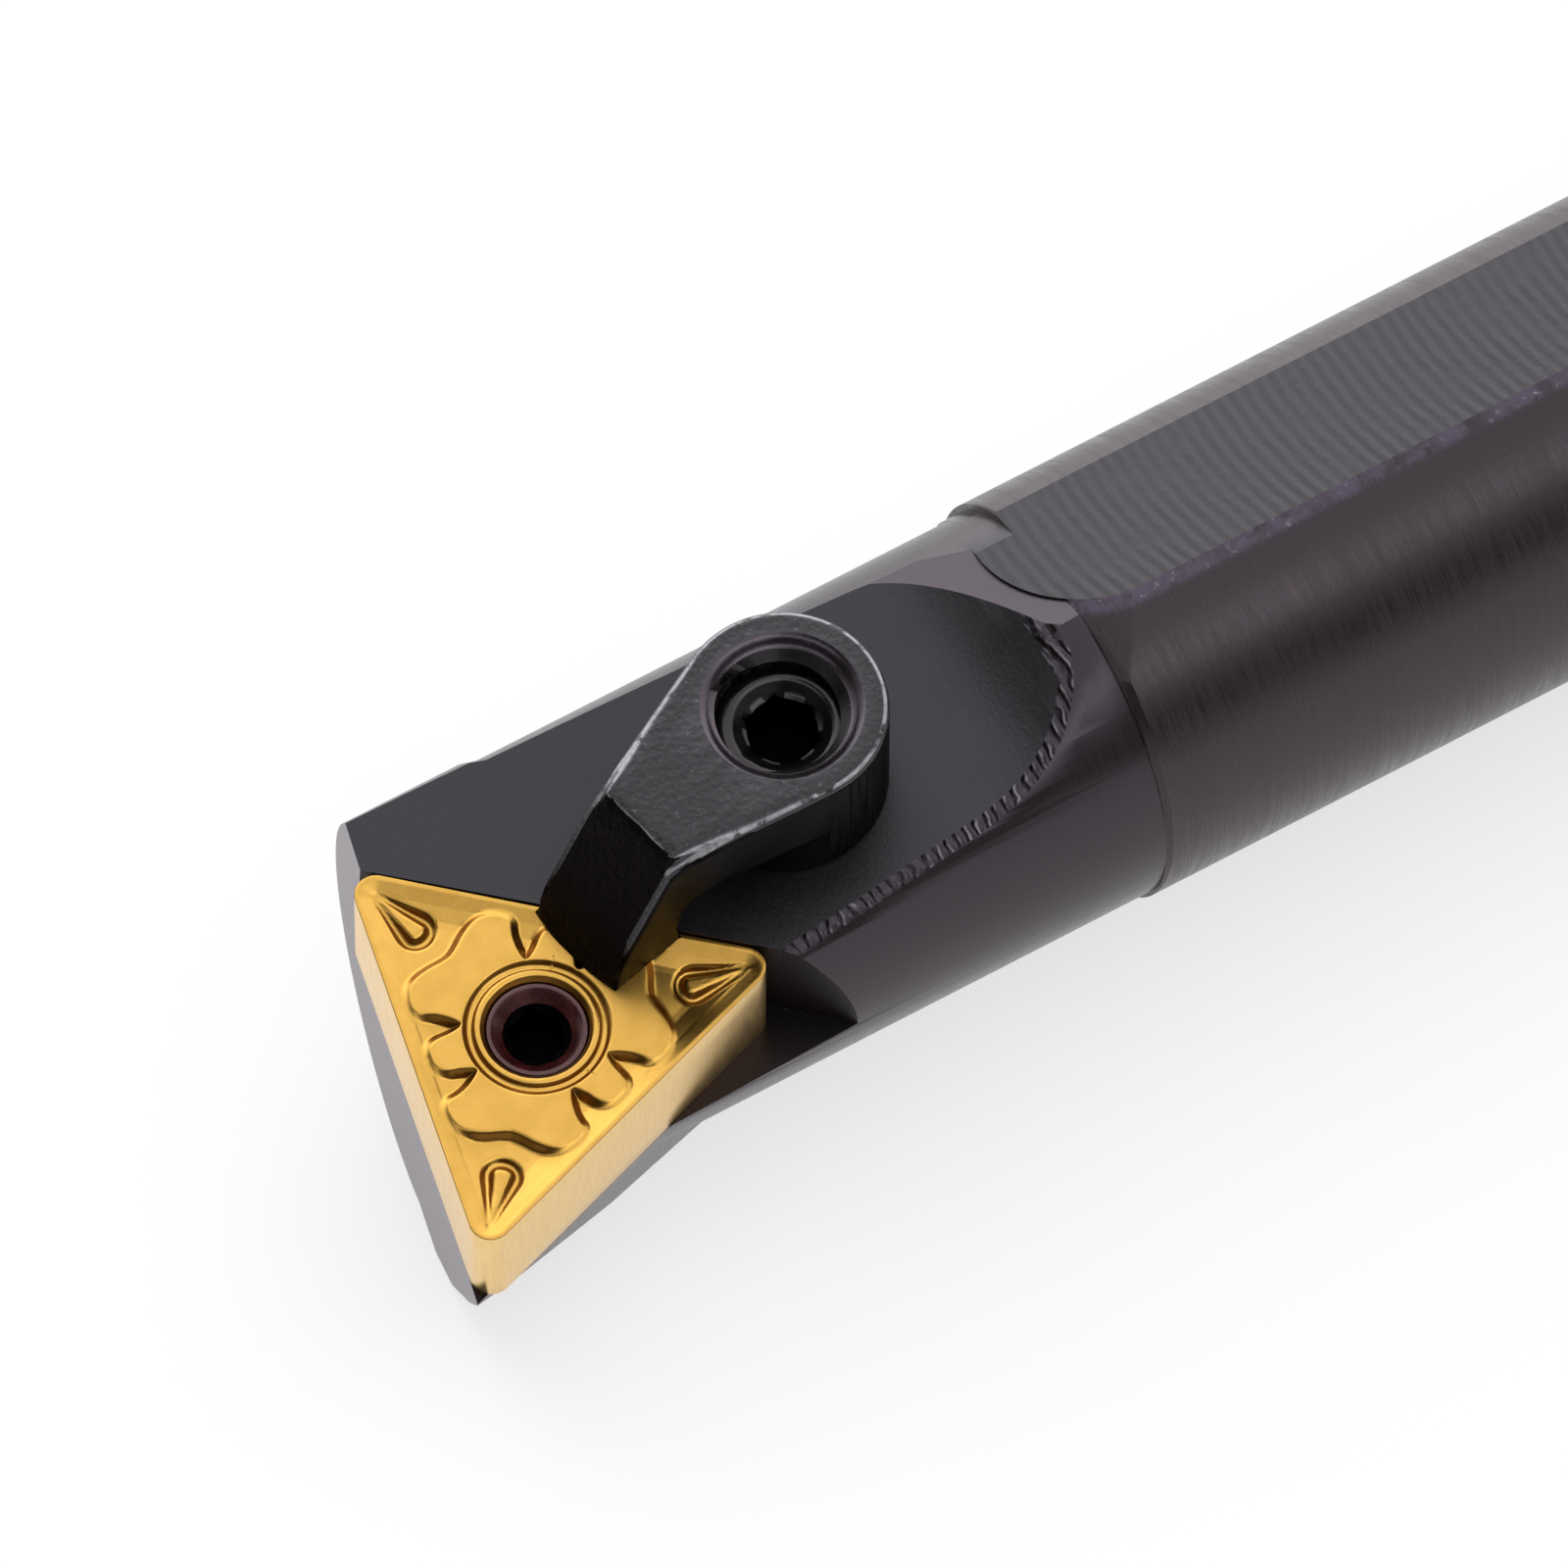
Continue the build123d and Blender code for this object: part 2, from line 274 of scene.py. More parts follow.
# round shank: fine turned lines and brown brushed streaks, plus a painted highlight band along the flat's near edge
shank_round = Mat("shank_round", (0.0075, 0.0050, 0.0054), 0.3, ior=1.58, tint=(1.0, 0.86, 0.96))
m = shank_round
theta = m.z.atan2(m.y)
wrap = m.combine(m.x * 9.0, theta * 3.2, 0.0)
lines = m.noise(1.0, 4.0, 0.7, vec=wrap)
wrap2 = m.combine(m.x * 3.0, theta * 1.6, 3.0)
bands = m.noise(1.0, 3.0, 0.6, vec=wrap2)
streak = (lines + bands - 1.0)
m.rough(streak * 0.34 + 0.29)
sp = nicks(m, 2.1, 0.76, 0.03)
# painted highlight: a lighter lavender band on the round just below the flat's near edge stands in for the light caught
# along that edge; its bright specks are wear nicks
band = m.z.step(7.02, 7.20) * m.y.step(0.0, 1.0) * m.noise(0.8, 3.0, 0.7).step(0.30, 0.58)
edge_nicks = band * m.noise(3.0, 3.0, 0.75).step(0.60, 0.74)
tone = m.mix(sp, (0.0075, 0.0050, 0.0054), BARE)
tone = m.mix(band * 0.9, tone, (0.085, 0.068, 0.105))
m.color(m.mix(edge_nicks * 0.8, tone, (0.45, 0.43, 0.47)))
m.metal((sp * 0.8 + band * 0.35 + edge_nicks * 0.4).min(1.0))
m.bump(lines, 0.028)

# head cylinder: closer, finer lines
head_round = Mat("head_round", (0.0060, 0.0044, 0.0052), 0.27, ior=1.56, tint=TINT)
m = head_round
theta = m.z.atan2(m.y)
lines = m.noise(1.0, 4.0, 0.7, vec=m.combine(m.x * 14.0, theta * 2.4, 0.0))
m.rough((lines - 0.5) * 0.25 + 0.27)
sp = nicks(m, 2.2, 0.78, 0.03)
m.color(m.mix(sp, (0.0060, 0.0044, 0.0052), BARE))
m.metal(sp * 0.8)
m.bump(lines, 0.005)

# milled shank flat: arcs left by the cutter
shank_flat = Mat("shank_flat", (0.010, 0.0105, 0.0115), 0.36, ior=1.56, tint=(0.96, 0.93, 1.0))
m = shank_flat
R = 20.0
arc = m.x - ((m.y * m.y) * -1.0 + R * R).sqrt()
wob = m.noise(0.6, 2.0, 0.5)
ph = (arc + (wob - 0.5) * 0.22) / 0.56
tri = (ph.fract() - 0.5).abs() * 2.0
strength = m.noise(0.5, 3.0, 0.6).step(0.3, 0.62, 0.35, 1.0)
ridge = tri.step(0.05, 0.95) * strength
fine = m.noise(6.0, 3.0, 0.7)
m.rough((fine - 0.5) * 0.14 + (ridge - 0.5) * 0.08 + 0.36)
sp = nicks(m, 2.4, 0.75, 0.03)
crest = tri.step(0.86, 1.0) * m.noise(2.2, 3.0, 0.7).step(0.5, 0.68)
mask = (sp + crest * 0.10).min(1.0)
m.color(m.mix(mask, (0.010, 0.0105, 0.0115), (0.38, 0.37, 0.38)))
m.metal(mask * 0.8)
m.bump(ridge, 0.03)
m.bump(fine, 0.004)

# plain flat of the head, scratched
head_flat = oxide("head_flat", 0.34, nick_cut=0.70, ior=1.78, bump=0.005)
m = head_flat
scr = m.noise(1.0, 3.0, 0.7, stretch=(2.5, 14.0, 1.0)).step(0.68, 0.78)
scr2 = m.noise(1.0, 3.0, 0.7, stretch=(12.0, 2.5, 1.0)).step(0.7, 0.8)
m.color(m.mix((scr * 0.12 + scr2 * 0.12 + m.spot).min(1.0), OXIDE, BARE))

gullet = oxide("gullet", 0.34, nick_cut=0.745, ior=1.60, bump=0.010, rough_var=0.2, base=(0.0055, 0.0055, 0.0066), tint=(0.93, 0.92, 1.0))
# seat pocket: rougher finish, and a darker, less reflecting base as painted shade of the recess
pocket_painted_shade = oxide("pocket_painted_shade", 0.44, nick_cut=0.77, ior=1.30, bump=0.02, base=(0.0035, 0.002, 0.002))
front = Mat("front_face", (0.14, 0.122, 0.14), 0.34, ior=1.9, tint=(1.0, 0.95, 1.0))
m = front
gr = m.noise(1.0, 4.0, 0.7, stretch=(3.0, 2.0, 14.0))
m.rough((gr - 0.5) * 0.2 + 0.34)
m.bump(gr, 0.006)
sp = nicks(m, 1.8, 0.70, 0.05)
m.color(m.mix(sp, (0.14, 0.122, 0.14), BARE))
m.metal(sp * 0.8)

# bevel along the gullet: chatter marks
chatter = Mat("chatter_bevel", (0.004, 0.003, 0.004), 0.32, ior=1.6, tint=TINT)
m = chatter
wv = (m.x + (m.noise(0.8, 2.0, 0.5) - 0.5) * 0.9) / 0.47
tr = (wv.fract() - 0.5).abs() * 2.0
worn = tr.step(0.70, 0.95) * m.noise(1.3, 2.0, 0.6).step(0.42, 0.6)
m.color(m.mix(worn * 0.42, (0.004, 0.003, 0.004), (0.45, 0.42, 0.45)))
m.metal(worn * 0.4)
m.rough(tr * 0.1 + 0.3)
m.bump(tr.step(0.1, 0.9), 0.09)

# bevelled edges: wear plus painted highlight, a lighter colour with bright specks on every bevel face
edge_wear_and_highlight = Mat("edge_wear_and_highlight", (0.05, 0.046, 0.05), 0.34, ior=1.75, tint=TINT)
m = edge_wear_and_highlight
# bright specks: partly bare-metal wear, partly painted highlight where edges catch the light
bright = m.noise(1.2, 4.0, 0.75).step(0.42, 0.60) * m.noise(0.22, 2.0, 0.5).step(0.34, 0.56)
m.color(m.mix(bright, (0.02, 0.018, 0.02), (0.55, 0.53, 0.56)))
m.metal(bright * 0.8)
m.bump(m.noise(7.0, 3.0, 0.7), 0.01)

# hole walls: thread ridges, and a darker, less reflecting base as painted shade inside the holes
hole = oxide("threaded_hole_painted_shade", 0.36, nick_cut=0.8, ior=1.4, base=(0.002, 0.0015, 0.0015))
m = hole
m.bump((m.axis(NZ, S0) / 0.8).fract().step(0.0, 1.0), 0.1)

# cast clamp
CAST = (0.0042, 0.004, 0.0043)
clamp_top = oxide("clamp_cast", 0.36, nick_cut=0.70, ior=1.58, bump=0.03, rough_var=0.25, base=CAST, tint=(0.93, 0.93, 1.0))
m = clamp_top
up = m.nx * float(NZ[0]) + m.ny * float(NZ[1]) + m.nz * float(NZ[2])
# fillet band round the clamp's top outline, lightened in patches: wear plus painted highlight along the edges
rim_wear_and_highlight = up.step(0.62, 0.75) * up.step(0.97, 0.88)
rim_wear_and_highlight = rim_wear_and_highlight * (m.noise(1.1, 4.0, 0.7).step(0.36, 0.52))
grain = m.voronoi(3.4)
m.bump(grain, 0.03)
flecks = m.noise(4.5, 3.0, 0.8).step(0.60, 0.72) * 0.22
m.color(m.mix((m.spot + flecks + rim_wear_and_highlight * 0.8).min(1.0), CAST, (0.42, 0.41, 0.43)))
m.metal((m.spot * 0.8 + rim_wear_and_highlight * 0.7).min(1.0))
# painted shade: the clamp's sides and nose slope are near-black, barely reflecting copies of the cast finish, darker
# than its top because of how light falls on them
clamp_side_painted_shade = oxide("clamp_side_painted_shade", 0.42, nick_cut=0.80, ior=1.13, bump=0.012, base=(0.0006, 0.0004, 0.0004))
clamp_slope_painted_shade = oxide("clamp_slope_painted_shade", 0.40, nick_cut=0.76, ior=1.16, bump=0.05, base=(0.0009, 0.0007, 0.0008))
m = clamp_slope_painted_shade
m.bump(m.noise(1.6, 3.0, 0.65), 0.16)
clamp_csk = oxide("clamp_sink", 0.24, nick_cut=0.70, ior=1.8, bump=0.008, base=(0.006, 0.005, 0.006))
clamp_edge = clamp_csk

screw_mat = Mat("screw_steel", (0.003, 0.0028, 0.003), 0.24, ior=1.6, tint=(1, 0.95, 1))
m = screw_mat
sc = m.noise(3.0, 4.0, 0.7)
m.rough((sc - 0.5) * 0.2 + 0.24)
sp = nicks(m, 2.0, 0.72, 0.05)
m.color(m.mix(sp, (0.003, 0.0028, 0.003), BARE))
m.metal(sp * 0.8)
m.bump(sc, 0.004)

pin_mat = Mat("pin_steel", (0.020, 0.003, 0.003), 0.22, ior=1.85, tint=(1, 0.72, 0.74))
m = pin_mat
sc = m.noise(3.0, 4.0, 0.7)
m.rough((sc - 0.5) * 0.2 + 0.26)
m.color(m.mix(m.noise(1.2, 2.0, 0.5).step(0.4, 0.7), (0.028, 0.0030, 0.0028), (0.060, 0.0085, 0.0075)))
m.bump(sc, 0.006)

# painted shade: hex sockets near-black and barely reflecting, standing in for the shade down the socket
socket = oxide("socket_painted_shade", 0.5, nick_cut=0.85, ior=1.12, base=(0.0006, 0.0003, 0.0003), bump=0.01)

# coated insert
gold = Mat("coating_gold", (0.78, 0.47, 0.10), 0.31, metallic=1.0)
m = gold
fine = m.noise(9.0, 3.0, 0.7)
broad = m.noise(0.5, 2.0, 0.5)
m.rough((fine - 0.5) * 0.16 + (broad - 0.5) * 0.1 + 0.31)
up = m.nx * float(NZ[0]) + m.ny * float(NZ[1]) + m.nz * float(NZ[2])
# painted shade: steep walls of the chip-breaker relief darkened to brown, standing in for the shade in the grooves
wall_painted_shade = up.abs().step(0.90, 0.72)
tone = m.mix(m.noise(1.0, 3.0, 0.6).step(0.35, 0.7), (0.77, 0.455, 0.098), (0.70, 0.41, 0.082))
m.color(m.mix(wall_painted_shade * 0.9, tone, (0.22, 0.095, 0.016)))
m.bump(fine, 0.0035)
gold_flank = Mat("coating_flank", (0.85, 0.60, 0.26), 0.3, metallic=1.0)
m = gold_flank
hz = m.axis(NZ, C0)
st = m.noise(1.0, 4.0, 0.7, vec=m.combine(m.axis(NX, C0) * 6.0, m.axis(NY, C0) * 6.0, hz * 0.8))
m.rough((st - 0.5) * 0.2 + 0.32)
m.bump(st, 0.004)
m.color(m.mix(st.step(0.35, 0.7), (0.86, 0.60, 0.25), (0.80, 0.56, 0.24)))

floor_mat = Mat("paper_floor", (0.9, 0.9, 0.9), 0.8, ior=1.2)
m = floor_mat
m.rough((m.noise(0.02, 2.0, 0.5) - 0.5) * 0.1 + 0.8)
m.b.inputs["Base Color"].default_value = (0.32, 0.32, 0.32, 1)
m.b.inputs["Emission Color"].default_value = (1, 0.99, 1, 1)
m.b.inputs["Emission Strength"].default_value = 0.70


# ---------------------------------------------------------------- mesh helpers
def new_object(name, mesh):
    o = bpy.data.objects.new(name, mesh)
    bpy.context.scene.collection.objects.link(o)
    return o


def on_cylinder(origin, axis, r):
    origin, axis = np.array(origin, float), unit(np.array(axis, float))

    def put(p):
        d = p - origin
        a = axis * (d @ axis)
        q = d - a
        return origin + a + q * (r / max(np.linalg.norm(q), 1e-9))

    return put


def on_sphere(centre, r):
    centre = np.array(centre, float)
    return lambda p: centre + (p - centre) * (r / max(np.linalg.norm(p - centre), 1e-9))


def refined(bm, surfaces, cuts=2, limit=12.0):
    """Splits the facets of curved faces and puts the new vertices back on the true surfaces."""
    bm.normal_update()
    ids = bm.faces.layers.int.new("surface")
    planes = {}
    for f in bm.faces:
        pts = [np.array(v.co) * 1000 for v in f.verts]
        n = np.array(f.normal)
        c = sum(pts) / len(pts)
        sid = -1
        for i, put in enumerate(surfaces):
            if max(np.linalg.norm(put(p) - p) for p in pts) > 4e-3:
                continue
            q = put(c)
            if np.linalg.norm(q - c) > 0.14:
                continue
            e = 0.01
            a, b = put(c + n * 0.0 + np.cross(n, [1, 0.3, 0.2]) * e) - q, put(c + np.cross(n, np.cross(n, [1, 0.3, 0.2])) * e) - q
            sn = np.cross(a, b)
            ln = np.linalg.norm(sn)
            if ln < 1e-12:
                continue
            if abs(sn @ n) / ln > cos(radians(limit)):
                sid = i
                break
        if sid < 0:
            key = (round(n[0], 3), round(n[1], 3), round(n[2], 3), round(float(n @ c), 2))
            if key not in planes:
                planes[key] = (len(surfaces) + len(planes), n, float(n @ c))
            sid = planes[key][0]
        f[ids] = sid
    put_all = {i: g for i, g in enumerate(surfaces)}
    for sid, n, k in planes.values():
        put_all[sid] = lambda p, n=n, k=k: p - n * (n @ p - k)
    old = set(bm.verts)
    edges = {e for f in bm.faces if f[ids] < len(surfaces) for e in f.edges if e.calc_length() > 2.5e-4}
    bmesh.ops.subdivide_edges(bm, edges=list(edges), cuts=cuts, use_grid_fill=True)
    for v in bm.verts:
        if v in old:
            continue
        sids = {f[ids] for f in v.link_faces}
        if not any(i < len(surfaces) for i in sids) or len(sids) > 3:
            continue
        start = p = np.array(v.co) * 1000
        for _ in range(30 if len(sids) > 1 else 1):
            for i in sids:
                p = put_all[i](p)
        if np.linalg.norm(p - start) < 0.6:
            v.co = p * MM
    bm.normal_update()


def cad_copy(node, surfaces=(), cuts=2):
    """Welded copy of a CAD node's mesh, its round faces refined and its flat facets joined."""
    bm = bmesh.new()
    bm.from_mesh(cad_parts[node].data)
    bmesh.ops.remove_doubles(bm, verts=bm.verts, dist=2e-7)
    if surfaces:
        refined(bm, list(surfaces), cuts)
    bmesh.ops.dissolve_limit(
        bm, angle_limit=radians(0.25), use_dissolve_boundaries=False, verts=bm.verts[:], edges=bm.edges[:]
    )
    bm.normal_update()
    return bm


def soften(bm, weight, region, size, rounds):
    """Rounds off a region: even triangles first, then averaged positions."""
    for _ in range(9):
        mids = np.array([(e.verts[0].co + e.verts[1].co) * 500 for e in bm.edges])
        es = [e for e, k in zip(bm.edges, region(mids)) if k and e.calc_length() > size * MM]
        if not es:
            break
        bmesh.ops.subdivide_edges(bm, edges=es, cuts=1)
        bmesh.ops.triangulate(bm, faces=[f for f in bm.faces if len(f.verts) > 3])
    bm.verts.index_update()
    co = np.array([v.co for v in bm.verts])
    w = weight(co * 1000)[:, None]
    ed = np.array([(e.verts[0].index, e.verts[1].index) for e in bm.edges])
    count = np.bincount(ed.ravel(), minlength=len(co))[:, None]
    for _ in range(rounds):
        total = np.zeros_like(co)
        np.add.at(total, ed[:, 0], co[ed[:, 1]])
        np.add.at(total, ed[:, 1], co[ed[:, 0]])
        co = co + 0.5 * w * (total / count - co)
    for v, p in zip(bm.verts, co):
        v.co = p
    bm.normal_update()


def finish_piece(name, bm, mats, classify, bevel=None, bevel_mat=None, angle=32.0, flat=(), round_edges=None):
    for f in bm.faces:
        c = np.array(f.calc_center_median()) * 1000
        n = np.array(f.normal)
        pts = np.array([v.co for v in f.verts]) * 1000
        f.material_index = classify(c, n, pts)
        f.smooth = f.material_index not in flat
    if round_edges is not None:
        soften(bm, *round_edges)
    for f in bm.faces:
        if f.normal.x < -0.999:
            f.smooth = False
    mesh = bpy.data.meshes.new(name)
    bm.to_mesh(mesh)
    bm.free()
    for x in mats:
        mesh.materials.append(x.m)
    o = new_object(name, mesh)
    if bevel:
        b = o.modifiers.new("edge", "BEVEL")
        b.width = bevel * MM
        b.segments = 2
        b.limit_method = "ANGLE"
        b.angle_limit = radians(angle)
        b.harden_normals = False
        b.use_clamp_overlap = True
        b.miter_outer = "MITER_ARC"
        if bevel_mat is not None:
            b.material = bevel_mat
    w = o.modifiers.new("normals", "WEIGHTED_NORMAL")
    w.mode = "FACE_AREA"
    w.weight = 100
    w.keep_sharp = True
    return o


# ---------------------------------------------------------------- bar
BAR_MATS = [shank_round, shank_flat, head_round, head_flat, gullet, pocket_painted_shade, front, chatter, edge_wear_and_highlight, hole]
FRONT_N = unit(np.array([0.964, -0.262, 0.035]))


def bar_class(c, n, pts):
    loc = insert_local(c[None])[0]
    rad = sqrt(c[1] ** 2 + c[2] ** 2)
    radial = np.array([0, c[1], c[2]]) / max(rad, 1e-6)
    cl = clamp_local(c[None])[0]
    if sqrt(loc[0] ** 2 + loc[1] ** 2) < 2.52 and loc[2] < -4.75:
        return 9
    if sqrt(cl[0] ** 2 + cl[1] ** 2) < 2.52 and abs(n @ NZ) < 0.3:
        return 9
    if n[2] > 0.999 and c[2] > 7.3 and c[0] < 3:
        return 1
    if n[2] > 0.999 and c[2] > 6.5 and c[0] > -2:
        return 3
    if n @ NZ > 0.999 and abs(loc[2] + THICK) < 0.05:
        return 5
    if n @ FRONT_N > 0.99:
        return 6
    ang_r = degrees(np.arccos(np.clip(n @ radial, -1, 1)))
    ang_f = degrees(np.arccos(np.clip(n @ NZ, -1, 1)))
    rr = np.sqrt(pts[:, 1] ** 2 + pts[:, 2] ** 2)
    if 1 < c[0] < 24.5 and c[1] > 2 and rr.min() > 7.3 and ang_r > 8 and c[2] > -1 and rr.max() < 7.95:
        near_floor = abs(loc[2] - 0.2) < 0.8 or loc[2] > 0
        if near_floor and ang_f > 12:
            return 7
    if n @ NZ > 0.8 and loc[2] > -1 and c[0] > 0 and rad < 7.8:
        return 4
    if c[0] > 0.5 and loc[2] > 0.3 and n[0] > 0.15 and ang_r > 25:
        return 4
    if c[0] < 0.05:
        return 0
    if ang_r > 40 and loc[2] < 0.3 and c[0] > 8:
        return 5
    return 2


LAT = np.array([-0.2, 0.939, -0.281])
LAT = unit(LAT - NZ * (NZ @ LAT))
BACK = np.cross(LAT, NZ)
BACK = -BACK if BACK[0] > 0 else BACK
LAT, BACK = unit(LAT - BACK * 0.25), unit(BACK + LAT * 0.25)
RAMP_T, RAMP_R = 18.0, 11.4
RAMP_H = 0.0175 * (RAMP_T + 4.0)


def ecc(r, e, deg):
    return on_cylinder((0, e * cos(radians(deg)), e * sin(radians(deg))), (1, 0, 0), r)


BAR_SURFACES = [
    on_cylinder((0, 0, 0), (1, 0, 0), 8.0),
    on_cylinder((0, 0, 0), (1, 0, 0), 7.845),
    on_cylinder(C0 + BACK * RAMP_T + NZ * (RAMP_H + RAMP_R), np.cross(BACK, NZ), RAMP_R),
    ecc(8.38, 0.70, -40.6),
    ecc(8.985, 1.42, -70.0),
    on_sphere((-3.0, -1.3, -3.65), 11.9),
    on_cylinder((-3.0, -1.3, 0), (0, 0, 1), 4.53),
    on_cylinder(C0, NZ, 2.5),
    on_cylinder(S0, NZ, 2.5),
]
bm = cad_copy("bar_body", BAR_SURFACES)
bar = finish_piece("bar_body_steel", bm, BAR_MATS, bar_class, bevel=0.07, bevel_mat=8, angle=30, flat=(1, 3, 5, 6))
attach(bar, "bar")
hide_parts("bar_body")


# ---------------------------------------------------------------- insert
def smooth01(t):
    t = np.clip(t, 0, 1)
    return t * t * (3 - 2 * t)


def ramp01(t):
    """Straight ramp with softly rounded ends."""
    t = np.clip(t, -0.15, 1.15)
    k = 0.15
    lo = np.where(t < k, (t + k) ** 2 / (4 * k), t)
    up = 1 - (1 - t + k) ** 2 / (4 * k)
    return np.where(t > 1 - k, up, lo)


CR = 0.8
HOLE_R = 1.905


def outline_sdf(x, y):
    """Distance inside the rounded triangle, positive inside."""
    ri = INR - CR
    best = np.full(x.shape, -1e9)
    for a in (30, 150, 270):
        best = np.maximum(best, x * cos(radians(a)) + y * sin(radians(a)) - ri)
    inside = best <= 0
    pts = [(2 * ri * cos(radians(a)), 2 * ri * sin(radians(a))) for a in (-30, 90, 210)]
    dist = np.full(x.shape, 1e9)
    for i in range(3):
        (ax, ay), (bx, by) = pts[i], pts[(i + 1) % 3]
        ex, ey = bx - ax, by - ay
        t = np.clip(((x - ax) * ex + (y - ay) * ey) / (ex * ex + ey * ey), 0, 1)
        dist = np.minimum(dist, np.hypot(x - ax - t * ex, y - ay - t * ey))
    return np.where(inside, CR + dist, CR - dist)


def chaikin(p, times=2):
    for _ in range(times):
        q = [p[0]]
        for a, b in zip(p[:-1], p[1:]):
            q += [(a[0] * 0.75 + b[0] * 0.25, a[1] * 0.75 + b[1] * 0.25), (a[0] * 0.25 + b[0] * 0.75, a[1] * 0.25 + b[1] * 0.75)]
        q.append(p[-1])
        p = q
    return p


LOBES = [(4.28, 0), (4.36, 5), (4.62, 11.5), (4.85, 18), (4.92, 24), (4.72, 31.5), (4.40, 35.5), (3.95, 34.2), (3.35, 34.6),
         (2.80, 38.2), (2.76, 41.2), (3.22, 47.0), (3.66, 49.3), (3.95, 52.5), (4.06, 57.0), (4.04, 60)]
LOBE_XY = chaikin([(r * cos(radians(a)), r * sin(radians(a))) for r, a in LOBES])


def lobe_sdf(u, v):
    """Distance outside the lobed plateau in a folded wedge, negative inside."""
    dist = np.full(u.shape, 1e9)
    for (ax, ay), (bx, by) in zip(LOBE_XY[:-1], LOBE_XY[1:]):
        ex, ey = bx - ax, by - ay
        t = np.clip(((u - ax) * ex + (v - ay) * ey) / (ex * ex + ey * ey), 0, 1)
        dist = np.minimum(dist, np.hypot(u - ax - t * ex, v - ay - t * ey))
    poly = [(0.0, 0.0)] + LOBE_XY
    inside = np.zeros(u.shape, bool)
    n = len(poly)
    for i in range(n):
        (ax, ay), (bx, by) = poly[i], poly[(i + 1) % n]
        cond = (ay > v) != (by > v)
        with np.errstate(divide="ignore", invalid="ignore"):
            xin = (bx - ax) * (v - ay) / (by - ay) + ax
        inside ^= cond & (u < xin)
    return np.where(inside, -dist, dist)


def drop_sdf(u, v, uc, rc, apex):
    length = apex - uc
    sa = rc / length
    ca = sqrt(1 - sa * sa)
    a, b = u - uc, v
    t = a * ca - b * sa
    line = a * sa + b * ca - rc
    circle = np.hypot(a, b) - rc
    return np.where(t > 0, line, circle)


def insert_height(x, y):
    r = np.hypot(x, y)
    phi = np.degrees(np.arctan2(y, x))
    rel = np.abs((phi + 30 + 60) % 120 - 60)
    u, v = r * np.cos(np.radians(rel)), r * np.sin(np.radians(rel))
    d = outline_sdf(x, y)
    base = np.interp(d, [0, 0.16, 0.22, 0.58, 0.66, 1.25, 1.5, 9], [0, 0, -0.020, -0.150, -0.190, -0.370, -0.39, -0.39])
    sd = lobe_sdf(u, v)
    top = -0.015
    wall = 1 - ramp01((sd + 0.03) / 0.30)
    h = base + (top - base) * wall
    groove = 1 - smooth01((drop_sdf(u, v, 6.02, 0.80, 8.38) + 0.20) / 0.24)
    ridge = 1 - smooth01((drop_sdf(u, v, 5.90, 0.36, 8.10) + 0.14) / 0.34)
    h = h - 0.21 * groove + 0.30 * groove * ridge * smooth01((u - 5.35) / 0.5)
    ring = ramp01((r - 2.27) / 0.12) * (1 - ramp01((r - 2.54) / 0.20))
    h = h - 0.19 * ring
    h = np.where(r < 2.10, np.minimum(h, (r - 2.10) * 1.1), h)
    return h


def insert_mesh():
    n_phi = 540
    phis = np.radians(np.arange(n_phi) * 360.0 / n_phi)
    # outline radius along each ray by bisection
    lo, hi = np.full(n_phi, 3.0), np.full(n_phi, 10.0)
    for _ in range(40):
        mid = (lo + hi) / 2
        ins = outline_sdf(mid * np.cos(phis), mid * np.sin(phis)) > 0
        lo, hi = np.where(ins, mid, lo), np.where(ins, hi, mid)
    edge = (lo + hi) / 2
    verts, faces, mats = [], [], []

    def ring_at(radius, z):
        start = len(verts)
        xx, yy = radius * np.cos(phis), radius * np.sin(phis)
        zz = z(xx, yy) if callable(z) else np.full(n_phi, z)
        verts.extend(zip(xx, yy, zz))
        return start

    def band(a, b, mat):
        for i in range(n_phi):
            j = (i + 1) % n_phi
            faces.append((a + i, a + j, b + j, b + i))
            mats.append(mat)

    # fractions from hole (0) to the edge (1): even steps of about 0.045 mm near mid, finer by the edge
    def rows(n):
        t = np.linspace(0, 1, n)
        return t

    hone = 0.035
    top_rows = rows(96)
    fine_r = [HOLE_R + (edge - hone - HOLE_R) * t for t in top_rows]
    # side first: z downwards from the edge
    loops = []
    start_top = None
    prev = None
    for rr in fine_r:
        cur = ring_at(rr, insert_height)
        if prev is not None:
            band(prev, cur, 0)
        else:
            start_top = cur
        prev = cur
    for off, z, mat in ((0.010, -0.010, 0), (0.0, -0.038, 0), (0.0, -1.3, 1), (0.0, -2.38, 1), (0.0, -3.46, 1), (0.0, -THICK + 0.038, 1), (0.010, -THICK + 0.010, 0)):
        cur = ring_at(edge - off, z)
        band(prev, cur, mat)
        prev = cur
    low_rows = np.linspace(1, 0, 34)
    last = None
    for t in low_rows:
        rr = HOLE_R + (edge - hone - HOLE_R) * t
        cur = ring_at(rr, lambda a, b: -THICK - insert_height(a, b))
        band(prev, cur, 0)
        prev = cur
        last = cur
    band(last, start_top, 2)
    v = np.array(verts)
    world = (C0 + v[:, :1] * NX + v[:, 1:2] * NY + v[:, 2:3] * NZ) * MM
    mesh = bpy.data.meshes.new("insert_relief")
    mesh.from_pydata([tuple(p) for p in world], [], faces)
    mesh.polygons.foreach_set("material_index", mats)
    mesh.polygons.foreach_set("use_smooth", [True] * len(faces))
    mesh.update()
    return mesh


